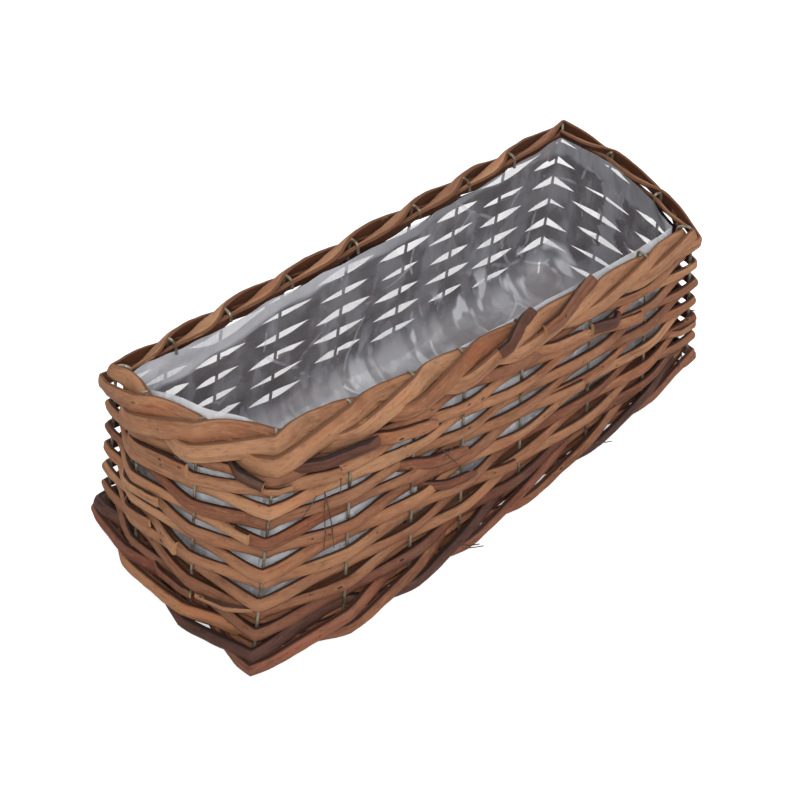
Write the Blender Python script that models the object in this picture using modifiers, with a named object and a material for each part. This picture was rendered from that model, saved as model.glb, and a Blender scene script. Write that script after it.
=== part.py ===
# Wicker planter trough: wire stakes, split willow woven round them, a three-strand rim,
# a three-rod foot, a woven base and a film liner. Metres, +Z up, standing on z = 0,
# +X along the length, the front side at -Y.

import math

import bmesh
import bpy
from mathutils import Vector

# Plan of the stakes, measured to the wire centres. The basket is made by hand: it widens
# towards the foot, most at the front left corner.
RIM_LENGTH = 0.388
RIM_WIDTH = 0.147
FOOT_LENGTH = 0.406
FOOT_WIDTH = 0.177

# The middle of the foot plan, seen from the middle of the rim plan
FOOT_SHIFT = (-0.003, -0.0085)

# How far each corner stake stands in from the square corner, along X and along Y.
# Corners: front left, front right, back right, back left.
RIM_CORNER_INSETS = ((0.038, 0.008), (0.018, 0.000), (0.000, 0.000), (0.000, 0.024))
FOOT_CORNER_INSETS = ((0.000, 0.000), (0.000, 0.034), (0.018, 0.000), (0.000, 0.011))

# How far each side bulges out: front, right, back, left
RIM_BOWS = (0.0094, 0.0099, -0.0008, 0.0192)
FOOT_BOWS = (0.0160, 0.0020, -0.0008, 0.0096)

# A side bulges fuller than a plain sine, and the front of the foot most near its left end
BOW_FULLNESS = 0.7
FOOT_FRONT_LEAN = 0.5

# Places of the stakes along each side, as shares of the side, going round anticlockwise
FRONT_STAKES = (0.152, 0.288, 0.400, 0.539, 0.712, 0.865)
RIGHT_STAKES = (0.287, 0.668)
BACK_STAKES = (0.145, 0.257, 0.376, 0.518, 0.662, 0.790, 0.900)
LEFT_STAKES = (0.284, 0.667)

# Galvanised wire
WIRE_DIAMETER = 0.0018
WIRE_BEND = 0.004
HOOK_LEG = 0.008
HOOK_RISE = 0.0050
HOOK_ARC_STEPS = 4
BEND_STEPS = 3
SHORT_FOOT = 0.024
BASE_KICK = 0.008

# Split willow of the wall
STRIP_WIDTH = 0.0088
STRIP_THICKNESS = 0.0036
ROW_GAP = 0.0003
WALL_END_GAP = 0.0016
TURNS = 10
STRIP_BAYS = 16
SPLICE_SHARE = 0.25
SPLICE_GAP = 0.0010

# Wide split willow of the rim, twisted three and three round the stakes
RIM_STRAND_WIDTH = 0.0104
RIM_STRAND_THICKNESS = 0.0048

# Oval unpeeled rods of the foot, twisted the same way
FOOT_ROD_WIDTH = 0.0066
FOOT_ROD_THICKNESS = 0.0060

# Split willow of the base, woven lengthwise over and under the cross wires
BASE_STRIP_WIDTH = 0.0090
BASE_STRIP_THICKNESS = 0.0030
# in three groups, which leave room for the two long wires
BASE_STRIP_SHARES = (0.120, 0.184, 0.247, 0.367, 0.432, 0.498, 0.563, 0.628, 0.750, 0.815)
BASE_STRIP_END_GAP = 0.016
BASE_HEIGHT = 0.0072

# Film liner
FILM_THICKNESS = 0.0006
LINER_RADIUS = 0.030
LINER_RADIUS_STEPS = 5
LINER_WALL_STEPS = 4
LINER_BELOW_RIM = 0.0015

# Clearances between pieces that touch on the real basket
SEAT_GAP = 0.0003
SLOPE_GAP = 0.0003
RIM_LEAN_GAP = 0.0022
FOOT_LEAN_GAP = 0.0014
WIRE_GROUND_GAP = 0.0012
FILM_GAP = 0.0010

# Smallest share of a bay that counts as a place of its own, and least cosine of half a corner
PLACE_SHARE = 0.0001
PLACE_ROUNDING = 0.000001
END_SHARE = 0.02
SHARPEST_CORNER = 0.5

# Half the flat of a rim strand's face, as a share of its width
STRAND_FLAT = 0.30

# Height between two strands that lie in the same layer, as a share of the lift
HEIGHT_WAVE_SPREAD = 1.44

# Points of a woven piece in each bay between two stakes
BAY_STEPS = 3

# Strands of the rim and of the foot, and how squarely they swing from side to side
STRANDS = 3
SQUARENESS = 1.5

WIRE_RADIUS = WIRE_DIAMETER / 2
ROW_PITCH = STRIP_WIDTH + ROW_GAP


def linear(red, green, blue):
    # Scene-linear colour of a colour given as it looks on screen, 0 to 255
    channels = []
    for value in (red, green, blue):
        share = value / 255
        channels.append(share / 12.92 if share <= 0.04045 else ((share + 0.055) / 1.055) ** 2.4)
    return (*channels, 1.0)


def material(name, colour, roughness, metallic=0.0, alpha=1.0):
    made = bpy.data.materials.new(name)
    made.use_nodes = True
    shader = made.node_tree.nodes["Principled BSDF"]
    shader.inputs["Base Color"].default_value = linear(*colour)
    shader.inputs["Roughness"].default_value = roughness
    shader.inputs["Metallic"].default_value = metallic
    shader.inputs["Alpha"].default_value = alpha
    return made


# The plan

def corner_stakes(length, width, insets, middle):
    corners = []
    for (side_x, side_y), (inset_x, inset_y) in zip(((-1, -1), (1, -1), (1, 1), (-1, 1)), insets):
        corner = Vector((side_x * (length / 2 - inset_x), side_y * (width / 2 - inset_y)))
        corners.append(corner + Vector(middle))
    return corners


def plan_stakes(length, width, insets, middle, bows, front_lean):
    # All stakes of one level, anticlockwise from the front left corner
    corners = corner_stakes(length, width, insets, middle)
    sides = (
        (FRONT_STAKES, Vector((0, -1)), front_lean),
        (RIGHT_STAKES, Vector((1, 0)), 1),
        (BACK_STAKES, Vector((0, 1)), 1),
        (LEFT_STAKES, Vector((-1, 0)), 1),
    )
    stakes = []
    for side, (shares, outward, lean) in enumerate(sides):
        start = corners[side]
        end = corners[(side + 1) % 4]
        stakes.append(start)
        for share in shares:
            bulge = bows[side] * max(math.sin(math.pi * share ** lean), 0) ** BOW_FULLNESS
            stakes.append(start.lerp(end, share) + outward * bulge)
    return stakes


RIM_PLAN = plan_stakes(RIM_LENGTH, RIM_WIDTH, RIM_CORNER_INSETS, (0, 0), RIM_BOWS, 1)
FOOT_PLAN = plan_stakes(FOOT_LENGTH, FOOT_WIDTH, FOOT_CORNER_INSETS, FOOT_SHIFT, FOOT_BOWS, FOOT_FRONT_LEAN)
STAKES = len(RIM_PLAN)
FIRST_RIGHT = len(FRONT_STAKES) + 2
FIRST_BACK = FIRST_RIGHT + len(RIGHT_STAKES) + 1
FIRST_LEFT = FIRST_BACK + len(BACK_STAKES) + 1


# Levels. A twist of three strands needs this much room beside and above a stake.

class Twist:
    def __init__(self, width, thickness, lean_gap):
        # sideways swing: a strand clears the leaning wire where it passes it, and its
        # neighbours between
        past_wire = WIRE_RADIUS + SEAT_GAP + SLOPE_GAP + lean_gap + thickness / 2
        past_strand = thickness + SEAT_GAP + SLOPE_GAP
        self.swing = max(past_wire / side_wave(1 / 3), past_strand / side_wave(5 / 12))
        self.lift = (width + SEAT_GAP) / HEIGHT_WAVE_SPREAD
        self.half_height = self.lift * math.cos(math.pi / (STRANDS * BAY_STEPS)) + width / 2


def side_wave(turn):
    # Outward share of the swing: -1 behind the stake at turn 0, +1 in front of it at turn 1/2
    return -math.tanh(SQUARENESS * math.cos(2 * math.pi * turn)) / math.tanh(SQUARENESS)


def height_wave(turn):
    # Lowest as a strand comes out from behind, highest as it goes in again. The lead puts the
    # lowest stretch level, so that the foot has flats to stand on.
    lead = 1 / (4 * STRANDS * BAY_STEPS)
    return -math.sin(2 * math.pi * (turn - lead))


RIM_TWIST = Twist(RIM_STRAND_WIDTH, RIM_STRAND_THICKNESS, RIM_LEAN_GAP)
FOOT_TWIST = Twist(FOOT_ROD_WIDTH, FOOT_ROD_THICKNESS, FOOT_LEAN_GAP)

FOOT_CENTRE = FOOT_TWIST.half_height
WALL_START = FOOT_CENTRE + FOOT_TWIST.half_height + WALL_END_GAP + STRIP_WIDTH / 2
WALL_END = WALL_START + TURNS * ROW_PITCH
RIM_CENTRE = WALL_END + STRIP_WIDTH / 2 + WALL_END_GAP + RIM_TWIST.half_height


def stake_at(index, height):
    # Centre of a stake at a height: the wires lean from the foot plan to the rim plan
    return FOOT_PLAN[index % STAKES].lerp(RIM_PLAN[index % STAKES], height / RIM_CENTRE)


def side_normal(index, height):
    # Outward direction of the bay after a stake
    along = stake_at(index + 1, height) - stake_at(index, height)
    return Vector((along.y, -along.x)).normalized()


def stake_normal(index, height):
    # Outward direction at a stake, and how much further a mitred corner reaches
    before = side_normal(index - 1, height)
    after = side_normal(index, height)
    outward = (before + after).normalized()
    return outward, 1 / max(outward.dot(after), SHARPEST_CORNER)


def wall_point(place, offset, height):
    # Point beside the wall: place counts stakes round the basket, offset is outward
    index = math.floor(place + PLACE_ROUNDING)
    share = place - index
    if share < PLACE_SHARE:
        outward, reach = stake_normal(index, height)
        spot = stake_at(index, height) + outward * offset * reach
    else:
        spot = stake_at(index, height).lerp(stake_at(index + 1, height), share)
        spot += side_normal(index, height) * offset
    return Vector((spot.x, spot.y, height))


def wall_lean(place):
    # Angle by which the wall leans in at a place
    index = math.floor(place + PLACE_ROUNDING)
    outward = side_normal(index, 0) if place - index > PLACE_SHARE else stake_normal(index, 0)[0]
    spread = wall_point(place, 0, 0) - wall_point(place, 0, RIM_CENTRE)
    return math.atan2(spread.xy.dot(outward), RIM_CENTRE)


def bay_length(place, height):
    index = math.floor(place)
    return (stake_at(index + 1, height) - stake_at(index, height)).length


def places_between(start, end):
    # Stakes and bay steps from one place to another, with both ends
    first = math.floor(start * BAY_STEPS) + 1
    last = math.ceil(end * BAY_STEPS) - 1
    middle = [step / BAY_STEPS for step in range(first, last + 1)]
    return [start] + [place for place in middle if start + END_SHARE < place < end - END_SHARE] + [end]


# Makers

def clear_scene():
    for old in list(bpy.data.objects):
        bpy.data.objects.remove(old, do_unlink=True)


def new_collection(name):
    made = bpy.data.collections.new(name)
    bpy.context.scene.collection.children.link(made)
    return made


def profile(name, outline, collection):
    # Closed section that a woven piece is swept with, width upright
    curve = bpy.data.curves.new(name, "CURVE")
    curve.dimensions = "2D"
    spline = curve.splines.new("POLY")
    spline.points.add(len(outline) - 1)
    for point, (across, up) in zip(spline.points, reversed(outline)):
        point.co = (across, up, 0, 1)
    spline.use_cyclic_u = True
    made = bpy.data.objects.new(name, curve)
    made.hide_render = True
    made.display_type = "WIRE"
    collection.objects.link(made)
    return made


def path_curve(name, points, collection, finish):
    curve = bpy.data.curves.new(name, "CURVE")
    curve.dimensions = "3D"
    curve.twist_mode = "Z_UP"
    curve.use_fill_caps = True
    spline = curve.splines.new("POLY")
    spline.points.add(len(points) - 1)
    for point, spot in zip(spline.points, points):
        point.co = (*spot, 1)
    curve.materials.append(finish)
    made = bpy.data.objects.new(name, curve)
    collection.objects.link(made)
    return made


def woven(name, points, section, collection, finish, tilts=()):
    made = path_curve(name, points, collection, finish)
    made.data.bevel_mode = "OBJECT"
    made.data.bevel_object = section
    for point, tilt in zip(made.data.splines[0].points, tilts):
        point.tilt = tilt
    return made


def wire(name, points, collection, finish):
    # A round section needs no upright frame, which would twist a wire that stands nearly upright
    made = path_curve(name, points, collection, finish)
    made.data.twist_mode = "MINIMUM"
    made.data.bevel_depth = WIRE_RADIUS
    made.data.bevel_resolution = 2
    return made


def strip_outline(width, thickness):
    half = width / 2
    return ((-thickness / 2, -half), (thickness / 2, -half), (thickness / 2, half), (-thickness / 2, half))


def lens_outline(width, thickness):
    # Six sides: flat towards both faces, drawn in at the two edges
    shoulder = width * STRAND_FLAT
    half = thickness / 2
    lower = ((-half, -shoulder), (0, -width / 2), (half, -shoulder))
    upper = ((half, shoulder), (0, width / 2), (-half, shoulder))
    return lower + upper


def rod_outline(width, thickness):
    # Six sides, oval, with a flat below and above
    flat = thickness / 4
    side = thickness / 2
    half = width / 2
    return ((-side, 0), (-flat, -half), (flat, -half), (side, 0), (flat, half), (-flat, half))


# Wires

def hook_points(index):
    # From the free end inside the rim, up over the inner strand, to the top of the stake
    outward, reach = stake_normal(index, RIM_CENTRE)
    depth = (RIM_TWIST.swing + RIM_STRAND_THICKNESS / 2 + SEAT_GAP + SLOPE_GAP + WIRE_RADIUS) * reach
    shoulder = RIM_CENTRE + RIM_TWIST.lift * height_wave(0) + RIM_STRAND_WIDTH * STRAND_FLAT + SEAT_GAP
    stake = stake_at(index, shoulder)
    points = []
    heights = [(depth, shoulder - HOOK_LEG)]
    rise = HOOK_RISE * reach
    for step in range(HOOK_ARC_STEPS + 1):
        angle = math.pi * step / HOOK_ARC_STEPS
        along = math.copysign(math.sqrt(abs(math.cos(angle))), math.cos(angle))
        heights.append((depth / 2 * (1 + along), shoulder + rise * math.sqrt(abs(math.sin(angle)))))
    for inward, level in heights:
        spot = stake - outward * inward
        points.append(Vector((spot.x, spot.y, level)))
    return points


WIRE_LEVEL = WIRE_RADIUS + WIRE_GROUND_GAP


def foot_bend(index, towards):
    # Down the stake and round into the base, towards a point of the plan
    stake = stake_at(index, 0)
    inward = (towards - stake).normalized()
    upright = stake_at(index, WIRE_BEND + WIRE_LEVEL)
    points = [Vector((upright.x, upright.y, WIRE_BEND + WIRE_LEVEL))]
    for step in range(1, BEND_STEPS + 1):
        angle = math.pi / 2 * step / BEND_STEPS
        spot = upright + inward * WIRE_BEND * (1 - math.cos(angle))
        points.append(Vector((spot.x, spot.y, WIRE_LEVEL + WIRE_BEND * (1 - math.sin(angle)))))
    return points


def base_run(start, end, level):
    # Under the foot rods at both ends, kicked up to the level of the base between them
    along = (end - start).normalized()
    under = FOOT_TWIST.swing + FOOT_ROD_THICKNESS / 2 + SEAT_GAP
    points = []
    for origin, way in ((start, along), (end, -along)):
        low = origin + way * under
        high = origin + way * (under + BASE_KICK)
        pair = [Vector((low.x, low.y, WIRE_LEVEL)), Vector((high.x, high.y, level))]
        points += pair if origin is start else pair[::-1]
    return points


def through_wire(first, second, level):
    start = stake_at(first, 0)
    end = stake_at(second, 0)
    points = hook_points(first) + foot_bend(first, end)
    points += base_run(start, end, level)
    points += (hook_points(second) + foot_bend(second, start))[::-1]
    return points


def short_wire(index):
    tip = stake_at(index, 0) - stake_normal(index, 0)[0] * SHORT_FOOT
    return hook_points(index) + foot_bend(index, tip) + [Vector((tip.x, tip.y, WIRE_LEVEL))]


# Stakes joined by one wire under the base: front with back, left end with right end
LAST_BACK = FIRST_BACK + len(BACK_STAKES) - 1
LAST_LEFT = FIRST_LEFT + len(LEFT_STAKES) - 1
CROSS_PAIRS = [(1 + order, LAST_BACK - order) for order in range(len(FRONT_STAKES))]
LONG_PAIRS = [(LAST_LEFT - order, FIRST_RIGHT + order) for order in range(len(RIGHT_STAKES))]
EXTRA_BACK = range(FIRST_BACK, FIRST_BACK + len(BACK_STAKES) - len(FRONT_STAKES))
CORNERS = {
    "front_left": 0,
    "front_right": FIRST_RIGHT - 1,
    "back_right": FIRST_BACK - 1,
    "back_left": FIRST_LEFT - 1,
}
LONG_LEVEL = BASE_HEIGHT + WIRE_DIAMETER + SEAT_GAP


def make_wires(collection, finish):
    for number, (front, back) in enumerate(CROSS_PAIRS, 1):
        wire(f"cross_wire_{number}", through_wire(front, back, BASE_HEIGHT), collection, finish)
    for number, (left, right) in enumerate(LONG_PAIRS, 1):
        wire(f"long_wire_{number}", through_wire(left, right, LONG_LEVEL), collection, finish)
    for corner, index in CORNERS.items():
        wire(f"corner_wire_{corner}", short_wire(index), collection, finish)
    for number, index in enumerate(EXTRA_BACK, 1):
        wire(f"odd_wire_back_{number}", short_wire(index), collection, finish)


# Woven pieces

STRIP_SWING = WIRE_RADIUS + SEAT_GAP + SLOPE_GAP + STRIP_THICKNESS / 2

# The rows lie level from the back left corner round to the back right one and climb to the
# next row along the back
LEVEL_BAYS = FIRST_BACK - 1 + STAKES - (FIRST_LEFT - 1)
SPIRAL_START = FIRST_LEFT - 1 - STAKES
SPIRAL_END = FIRST_BACK - 1 + TURNS * STAKES


def strip_point(place):
    # One unbroken spiral: in front of every second stake, and behind the others
    turns, bays = divmod(place - SPIRAL_START, STAKES)
    climbed = max(0, bays - LEVEL_BAYS) / (STAKES - LEVEL_BAYS)
    height = WALL_START + ROW_PITCH * (turns + climbed)
    swing = STRIP_SWING * math.cos(math.pi * place)
    lean = wall_lean(place)
    spot = wall_point(place, swing * math.cos(lean), height)
    spot.z += swing * math.sin(lean)
    return spot


def make_wall(collection, section, finish):
    # Each strip ends behind a stake, where the next one takes over
    number = 1
    start = SPIRAL_START
    while start < SPIRAL_END:
        end = min(start + STRIP_BAYS, SPIRAL_END)
        splice = SPLICE_SHARE + SPLICE_GAP / bay_length(end, 0)
        first = start + (splice if number > 1 else 0)
        last = end + (SPLICE_SHARE if end < SPIRAL_END else 0)
        places = places_between(first, last)
        points = [strip_point(place) for place in places]
        tilts = [-wall_lean(place) for place in places]
        woven(f"wall_strip_{number:02d}", points, section, collection, finish, tilts)
        start = end
        number += 1


def twist_point(place, strand, twist, centre):
    turn = (place - strand) / STRANDS
    return wall_point(place, twist.swing * side_wave(turn), centre + twist.lift * height_wave(turn))


def make_twist(name, twist, centre, collection, section, finish):
    for strand in range(STRANDS):
        # each strand starts and ends behind the stakes, a third of the way round from the last
        start = strand * (STAKES // STRANDS // STRANDS * STRANDS + 1) + SPLICE_SHARE
        half_gap = SPLICE_GAP / 2 / bay_length(start, centre)
        places = places_between(start + half_gap, start + STAKES - half_gap)
        points = [twist_point(place, strand, twist, centre) for place in places]
        woven(f"{name}_{strand + 1}", points, section, collection, finish)


# Base

BASE_SWING = WIRE_RADIUS + SEAT_GAP + SLOPE_GAP + BASE_STRIP_THICKNESS / 2


def base_line(share):
    # Line across the foot plan from the left end to the right end
    left = stake_at(CORNERS["front_left"], 0).lerp(stake_at(CORNERS["back_left"], 0), share)
    right = stake_at(CORNERS["front_right"], 0).lerp(stake_at(CORNERS["back_right"], 0), share)
    along = (right - left).normalized()
    return left + along * BASE_STRIP_END_GAP, right - along * BASE_STRIP_END_GAP


def crossing(start, end, other_start, other_end):
    # Share of the first line at which the second one crosses it
    way = end - start
    other = other_end - other_start
    gap = other_start - start
    return (gap.x * other.y - gap.y * other.x) / (way.x * other.y - way.y * other.x)


def make_base(collection, section, finish):
    for number, share in enumerate(BASE_STRIP_SHARES, 1):
        start, end = base_line(share)
        spots = [(0.0, 0.0)]
        for order, (front, back) in enumerate(CROSS_PAIRS):
            side = 1 if (order + number) % 2 else -1
            met = crossing(start, end, stake_at(front, 0), stake_at(back, 0))
            if order:
                spots.append(((met + spots[-1][0]) / 2, 0.0))
            spots.append((met, side * BASE_SWING))
        spots.append((1.0, 0.0))
        points = []
        for along, lift in spots:
            spot = start.lerp(end, along)
            points.append(Vector((spot.x, spot.y, BASE_HEIGHT + lift)))
        woven(f"base_strip_{number:02d}", points, section, collection, finish)


# Liner

LINER_FLOOR = BASE_HEIGHT + BASE_SWING + BASE_STRIP_THICKNESS / 2 + FILM_GAP
LINER_TOP = RIM_CENTRE - RIM_TWIST.half_height - LINER_BELOW_RIM
LINER_INSET = STRIP_SWING + STRIP_THICKNESS / 2 + FILM_GAP


def liner_ring(height, rounding):
    ring = []
    shrink_x = 1 - rounding / (FOOT_LENGTH / 2)
    shrink_y = 1 - rounding / (FOOT_WIDTH / 2)
    for index in range(STAKES):
        spot = wall_point(index, -LINER_INSET, height)
        ring.append(Vector((spot.x * shrink_x, spot.y * shrink_y, height)))
    return ring


def make_liner(collection, finish):
    straight = LINER_TOP - LINER_FLOOR - LINER_RADIUS
    levels = [(LINER_TOP - straight * step / LINER_WALL_STEPS, 0.0) for step in range(LINER_WALL_STEPS + 1)]
    for step in range(1, LINER_RADIUS_STEPS + 1):
        angle = math.pi / 2 * step / LINER_RADIUS_STEPS
        height = LINER_FLOOR + LINER_RADIUS * (1 - math.sin(angle))
        levels.append((height, LINER_RADIUS * (1 - math.cos(angle))))
    mesh = bmesh.new()
    rings = [[mesh.verts.new(spot) for spot in liner_ring(*level)] for level in levels]
    for upper, lower in zip(rings, rings[1:]):
        for order in range(STAKES):
            after = (order + 1) % STAKES
            mesh.faces.new((upper[order], upper[after], lower[after], lower[order]))
    mesh.faces.new(rings[-1])
    bmesh.ops.triangulate(mesh, faces=mesh.faces)
    bmesh.ops.recalc_face_normals(mesh, faces=mesh.faces)
    data = bpy.data.meshes.new("liner")
    mesh.to_mesh(data)
    mesh.free()
    data.materials.append(finish)
    made = bpy.data.objects.new("liner", data)
    collection.objects.link(made)
    skin = made.modifiers.new("film", "SOLIDIFY")
    skin.thickness = FILM_THICKNESS
    skin.offset = -1
    return made


def centre_on_origin(parts):
    # Middle of the whole basket over the origin, feet on z = 0
    bpy.context.view_layer.update()
    graph = bpy.context.evaluated_depsgraph_get()
    corners = []
    for piece in parts:
        shape = piece.evaluated_get(graph)
        corners += [shape.matrix_world @ vert.co for vert in shape.to_mesh().vertices]
        shape.to_mesh_clear()
    low = Vector([min(corner[axis] for corner in corners) for axis in range(3)])
    high = Vector([max(corner[axis] for corner in corners) for axis in range(3)])
    shift = Vector((-(low.x + high.x) / 2, -(low.y + high.y) / 2, -low.z))
    for piece in parts:
        piece.location = shift
    print("size", [round(value, 4) for value in high - low], "shift", [round(value, 5) for value in shift])


def main():
    clear_scene()
    parts = new_collection("wicker_planter")
    guides = new_collection("sections")

    steel = material("steel_wire", (128, 124, 112), 0.45, 1.0)
    willow = material("split_willow", (166, 116, 80), 0.62)
    rim_willow = material("rim_willow", (172, 122, 84), 0.60)
    bark = material("bark_rod", (98, 62, 50), 0.66)
    base_willow = material("base_willow", (140, 96, 68), 0.66)
    film = material("clear_film", (190, 190, 194), 0.25, 0.0, 0.55)

    strip_section = profile("strip_section", strip_outline(STRIP_WIDTH, STRIP_THICKNESS), guides)
    rim_section = profile("rim_section", lens_outline(RIM_STRAND_WIDTH, RIM_STRAND_THICKNESS), guides)
    rod_section = profile("rod_section", rod_outline(FOOT_ROD_WIDTH, FOOT_ROD_THICKNESS), guides)
    base_section = profile("base_section", strip_outline(BASE_STRIP_THICKNESS, BASE_STRIP_WIDTH), guides)

    make_wires(parts, steel)
    make_twist("foot_rod", FOOT_TWIST, FOOT_CENTRE, parts, rod_section, bark)
    make_base(parts, base_section, base_willow)
    make_wall(parts, strip_section, willow)
    make_twist("rim_strand", RIM_TWIST, RIM_CENTRE, parts, rim_section, rim_willow)
    make_liner(parts, film)
    centre_on_origin(list(parts.objects))
    print("pieces", len(parts.objects))


main()
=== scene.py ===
import math
import random

import bpy
from mathutils import Matrix, Vector


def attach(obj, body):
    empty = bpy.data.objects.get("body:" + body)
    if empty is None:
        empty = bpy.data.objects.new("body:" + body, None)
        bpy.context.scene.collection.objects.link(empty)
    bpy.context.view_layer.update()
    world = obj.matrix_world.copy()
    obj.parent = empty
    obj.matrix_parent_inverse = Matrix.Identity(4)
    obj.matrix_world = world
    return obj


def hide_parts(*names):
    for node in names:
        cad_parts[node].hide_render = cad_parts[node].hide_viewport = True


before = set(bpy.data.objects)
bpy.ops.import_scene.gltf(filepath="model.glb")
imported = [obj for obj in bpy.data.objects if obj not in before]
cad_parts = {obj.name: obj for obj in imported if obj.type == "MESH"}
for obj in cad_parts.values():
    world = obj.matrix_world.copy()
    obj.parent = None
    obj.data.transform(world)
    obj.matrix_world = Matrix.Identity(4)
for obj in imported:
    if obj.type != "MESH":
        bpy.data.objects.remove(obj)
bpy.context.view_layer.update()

# Wicker planter trough: split willow woven round wire stakes, with a film liner inside.
# All in metres, in the frame of the CAD model.

dice = random.Random(41)
bpy.ops.object.select_all(action="DESELECT")
print("frame loaded:", len(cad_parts), "nodes")


# The stakes: two plans, one at the rim and one at the foot, joined by leaning wires.
# Corners go front left, front right, back right, back left, stakes anticlockwise.

plan = {
    "rimSize": (0.388, 0.147),
    "footSize": (0.406, 0.177),
    "footShift": (-0.003, -0.0085),
    "rimInsets": ((0.038, 0.008), (0.018, 0.0), (0.0, 0.0), (0.0, 0.024)),
    "footInsets": ((0.0, 0.0), (0.0, 0.034), (0.018, 0.0), (0.0, 0.011)),
    "rimBows": (0.0094, 0.0099, -0.0008, 0.0192),
    "footBows": (0.0160, 0.0020, -0.0008, 0.0096),
    "bowFullness": 0.7,
    "footFrontLean": 0.5,
    "frontStakes": (0.152, 0.288, 0.400, 0.539, 0.712, 0.865),
    "rightStakes": (0.287, 0.668),
    "backStakes": (0.145, 0.257, 0.376, 0.518, 0.662, 0.790, 0.900),
    "leftStakes": (0.284, 0.667),
    "middle": (0.0077, 0.01272),
    "footCentre": 0.0098,
    "wallStart": 0.0216,
    "rowPitch": 0.0091,
    "rowTurns": 10,
    "rimCentre": 0.1308,
}


def planStakes(size, insets, shift, bows, frontLean):
    corners = []
    for (sideX, sideY), (insetX, insetY) in zip(((-1, -1), (1, -1), (1, 1), (-1, 1)), insets):
        x = sideX * (size[0] / 2 - insetX) + shift[0] + plan["middle"][0]
        y = sideY * (size[1] / 2 - insetY) + shift[1] + plan["middle"][1]
        corners.append(Vector((x, y)))
    sides = (
        (plan["frontStakes"], Vector((0, -1)), frontLean),
        (plan["rightStakes"], Vector((1, 0)), 1),
        (plan["backStakes"], Vector((0, 1)), 1),
        (plan["leftStakes"], Vector((-1, 0)), 1),
    )
    stakes = []
    for side, (shares, outward, lean) in enumerate(sides):
        stakes.append(corners[side])
        for share in shares:
            bulge = bows[side] * math.sin(math.pi * share ** lean) ** plan["bowFullness"]
            stakes.append(corners[side].lerp(corners[(side + 1) % 4], share) + outward * bulge)
    return stakes


rimStakes = planStakes(plan["rimSize"], plan["rimInsets"], (0, 0), plan["rimBows"], 1)
footStakes = planStakes(plan["footSize"], plan["footInsets"], plan["footShift"],
                        plan["footBows"], plan["footFrontLean"])
stakeCount = len(rimStakes)
firstRight = len(plan["frontStakes"]) + 2
firstBack = firstRight + len(plan["rightStakes"]) + 1
firstLeft = firstBack + len(plan["backStakes"]) + 1


def stakeAt(index, height):
    low = footStakes[index % stakeCount]
    return low.lerp(rimStakes[index % stakeCount], height / plan["rimCentre"])


def sideNormal(index, height):
    along = stakeAt(index + 1, height) - stakeAt(index, height)
    return Vector((along.y, -along.x)).normalized()


def stakeNormal(index, height):
    # outward at a stake, and how much further a mitred corner reaches
    before = sideNormal(index - 1, height)
    after = sideNormal(index, height)
    outward = (before + after).normalized()
    return outward, 1 / max(outward.dot(after), 0.5)


def atHeight(spot, height):
    return Vector((spot.x, spot.y, height))


def wallPoint(place, offset, height):
    # place counts the stakes round the basket, offset is outward, and the tiny numbers take up rounding
    index = math.floor(place + 1e-6)
    share = place - index
    if share < 1e-4:
        outward, reach = stakeNormal(index, height)
        spot = stakeAt(index, height) + outward * offset * reach
    else:
        spot = stakeAt(index, height).lerp(stakeAt(index + 1, height), share)
        spot += sideNormal(index, height) * offset
    return atHeight(spot, height)


def wallLean(place):
    index = math.floor(place + 1e-6)
    outward = sideNormal(index, 0) if place - index > 1e-4 else stakeNormal(index, 0)[0]
    spread = wallPoint(place, 0, 0) - wallPoint(place, 0, plan["rimCentre"])
    return math.atan2(spread.xy.dot(outward), plan["rimCentre"])


def leaningPoint(place, out, height):
    # out is square to the leaning wall
    lean = wallLean(place)
    spot = wallPoint(place, out * math.cos(lean), height)
    spot.z += out * math.sin(lean)
    return spot


def roundBasket(knots, place):
    # values between the ones given for places, smooth and closed
    for (fromPlace, *values), (toPlace, *nextValues) in zip(knots, knots[1:] + knots[:1]):
        span = (toPlace - fromPlace) % stakeCount
        gone = (place - fromPlace) % stakeCount
        if gone <= span:
            ease = (1 - math.cos(math.pi * gone / span)) / 2
            return [between(value, nextValue, ease) for value, nextValue in zip(values, nextValues)]


def wave(seed, x):
    # slow wander between -1 and 1, never quite the same twice
    return (math.sin(x * 1.9 + seed * 2.3) + math.sin(x * 0.83 + seed * 5.1) + math.sin(x * 3.7 + seed)) / 3


def wander(amount, seed, x):
    # amount says how far it strays and how quickly
    return amount[0] * wave(seed, x * amount[1])


def between(first, second, share):
    return first + (second - first) * share


# Small helpers for making pieces by hand

def onlySelect(piece):
    bpy.ops.object.select_all(action="DESELECT")
    piece.select_set(True)
    bpy.context.view_layer.objects.active = piece


def applyModifier(piece, kind, **settings):
    modifier = piece.modifiers.new(kind.lower(), kind)
    for key, value in settings.items():
        setattr(modifier, key, value)
    onlySelect(piece)
    bpy.ops.object.modifier_apply(modifier=modifier.name)


def selectInEdit(piece, edgeTest=None, vertTest=None):
    # picks edges or points by their place, then goes into edit mode
    onlySelect(piece)
    bpy.ops.object.mode_set(mode="EDIT")
    bpy.ops.mesh.select_mode(type="EDGE" if edgeTest else "VERT")
    bpy.ops.mesh.select_all(action="DESELECT")
    bpy.ops.object.mode_set(mode="OBJECT")
    mesh = piece.data
    if edgeTest:
        for edge in mesh.edges:
            ends = [mesh.vertices[number].co for number in edge.vertices]
            edge.select = edgeTest(*ends)
    else:
        for vert in mesh.vertices:
            vert.select = vertTest(vert.co)
    bpy.ops.object.mode_set(mode="EDIT")


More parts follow.
